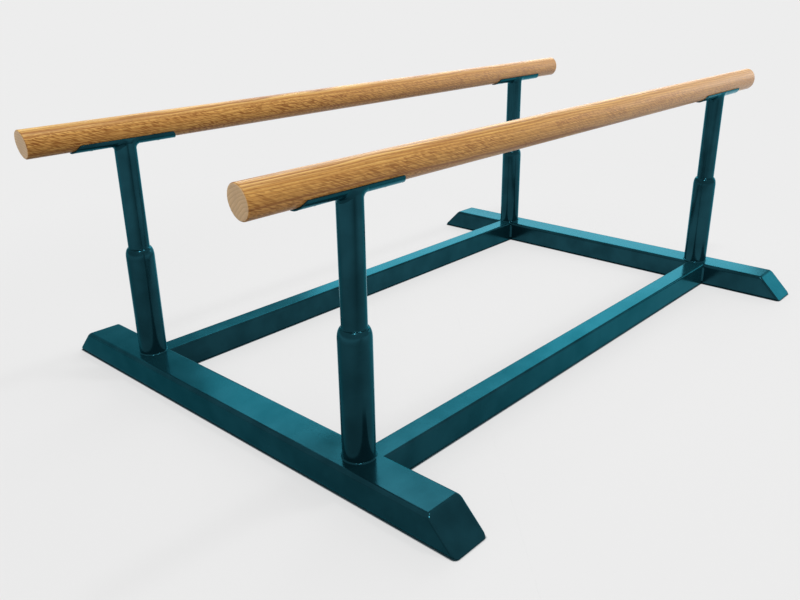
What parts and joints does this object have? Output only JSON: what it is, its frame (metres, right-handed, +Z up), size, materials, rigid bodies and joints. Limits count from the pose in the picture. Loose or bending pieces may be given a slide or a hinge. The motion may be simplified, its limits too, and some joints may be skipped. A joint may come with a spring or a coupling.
{
  "type": "rehab walking parallel bars",
  "caption": "Low floor-standing parallel bars: oval timber rails in steel saddles on stepped round posts, welded to a floor frame with sloped feet.",
  "frame": {"origin": "floor level, in the middle of the footprint", "axes": "+X along the rails towards the rear cross beam, +Y across the rails to the left, +Z up"},
  "size_m": [1.54, 1, 0.494],
  "materials": {
    "teal_enamel": "gloss stoved enamel",
    "oiled_timber": "satin lacquer over clear grain",
    "zinc_plate": "bright zinc plate"
  },
  "bodies": {
    "root": {"front_cross_beam": "teal_enamel", "rear_cross_beam": "teal_enamel", "front_left_end_plate": "teal_enamel", "front_right_end_plate": "teal_enamel", "rear_left_end_plate": "teal_enamel", "rear_right_end_plate": "teal_enamel", "left_long_beam": "teal_enamel", "right_long_beam": "teal_enamel", "front_left_beam_weld": "teal_enamel", "front_right_beam_weld": "teal_enamel", "rear_left_beam_weld": "teal_enamel", "rear_right_beam_weld": "teal_enamel", "front_left_lower_post": "teal_enamel", "front_left_base_weld": "teal_enamel", "front_left_reducing_bush": "teal_enamel", "front_left_step_weld": "teal_enamel", "front_left_upper_post": "teal_enamel", "front_left_saddle_weld": "teal_enamel", "front_left_saddle": "teal_enamel", "front_left_rail_screw_1": "zinc_plate", "front_left_rail_screw_2": "zinc_plate", "front_right_lower_post": "teal_enamel", "front_right_base_weld": "teal_enamel", "front_right_reducing_bush": "teal_enamel", "front_right_step_weld": "teal_enamel", "front_right_upper_post": "teal_enamel", "front_right_saddle_weld": "teal_enamel", "front_right_saddle": "teal_enamel", "front_right_rail_screw_1": "zinc_plate", "front_right_rail_screw_2": "zinc_plate", "rear_left_lower_post": "teal_enamel", "rear_left_base_weld": "teal_enamel", "rear_left_reducing_bush": "teal_enamel", "rear_left_step_weld": "teal_enamel", "rear_left_upper_post": "teal_enamel", "rear_left_saddle_weld": "teal_enamel", "rear_left_saddle": "teal_enamel", "rear_left_rail_screw_1": "zinc_plate", "rear_left_rail_screw_2": "zinc_plate", "rear_right_lower_post": "teal_enamel", "rear_right_base_weld": "teal_enamel", "rear_right_reducing_bush": "teal_enamel", "rear_right_step_weld": "teal_enamel", "rear_right_upper_post": "teal_enamel", "rear_right_saddle_weld": "teal_enamel", "rear_right_saddle": "teal_enamel", "rear_right_rail_screw_1": "zinc_plate", "rear_right_rail_screw_2": "zinc_plate", "left_rail": "oiled_timber", "right_rail": "oiled_timber"}
  },
  "joints": []
}
